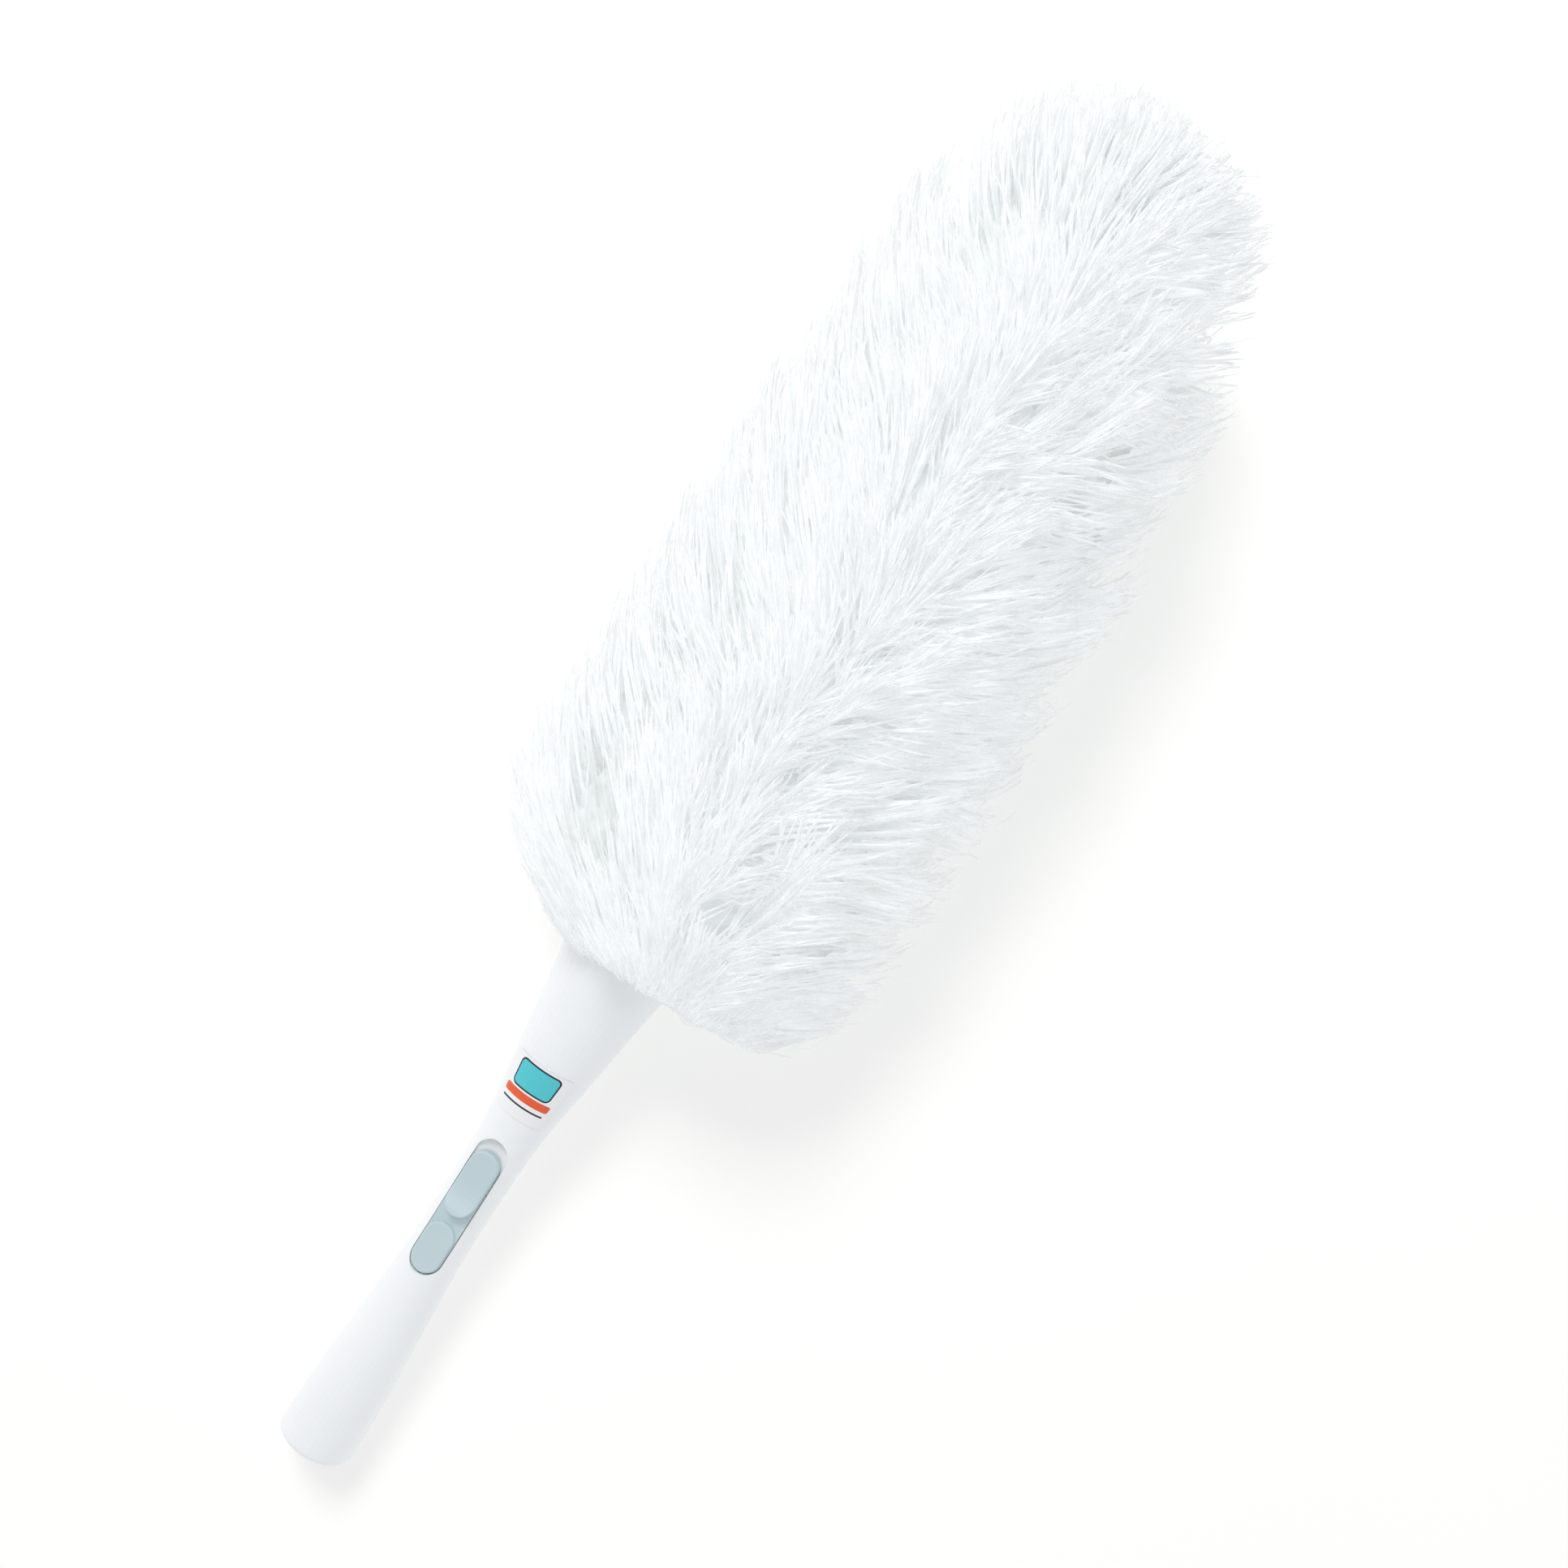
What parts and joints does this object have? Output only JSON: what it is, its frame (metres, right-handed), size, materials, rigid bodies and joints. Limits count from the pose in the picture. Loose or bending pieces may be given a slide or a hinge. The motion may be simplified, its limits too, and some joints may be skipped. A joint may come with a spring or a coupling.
{
  "type": "feather duster",
  "caption": "White hand duster with a long fluffy fibre head on a twisted core and a waisted handle with a grey thumb slide that releases the head.",
  "frame": {"origin": "centre of the handle's flat end face", "axes": "+X along the duster from the handle's end to the tip of the head, +Z out through the thumb slide, +Y to the left seen from above with the head pointing away"},
  "size_m": [0.609, 0.1712, 0.1712],
  "materials": {
    "white_plastic": "satin",
    "grey_plastic": "satin",
    "natural_nylon": "matte",
    "zinc_steel": "satin",
    "spring_steel": "satin",
    "label_film": "satin",
    "white_fibre": "matte"
  },
  "bodies": {
    "handle": {"handle_shell_upper": "white_plastic", "handle_shell_lower": "white_plastic", "end_plug": "white_plastic", "shell_screw_rear": "zinc_steel", "shell_screw_middle": "zinc_steel", "shell_screw_front_left": "zinc_steel", "shell_screw_front_right": "zinc_steel", "slide_guide": "natural_nylon", "guide_screw_rear": "zinc_steel", "guide_screw_front": "zinc_steel", "head_socket": "natural_nylon", "release_clip": "spring_steel", "return_spring": "spring_steel", "product_label": "label_film"},
    "slide": {"thumb_slide": "grey_plastic", "slide_carriage": "natural_nylon", "slide_screw": "zinc_steel"},
    "head": {"head_plug": "natural_nylon", "core_ferrule": "spring_steel", "core_wire_a": "spring_steel", "core_wire_b": "spring_steel", "core_tip_cap": "natural_nylon", "fibre_band_base": "white_fibre", "fibre_band_lower": "white_fibre", "fibre_band_middle": "white_fibre", "fibre_band_upper": "white_fibre", "fibre_band_tip": "white_fibre"}
  },
  "joints": [
    {"name": "thumb_slide_travel", "type": "slide", "parent": "handle", "child": "slide", "axis": [1, 0, 0], "range_m": [0, 0.005], "stiffness_N_per_m": 300, "deforming": ["release_clip", "return_spring"]},
    {"name": "head_pull_off", "type": "slide", "parent": "handle", "child": "head", "axis": [1, 0, 0], "range_m": [0, 0.044], "deforming": ["release_clip"]}
  ]
}
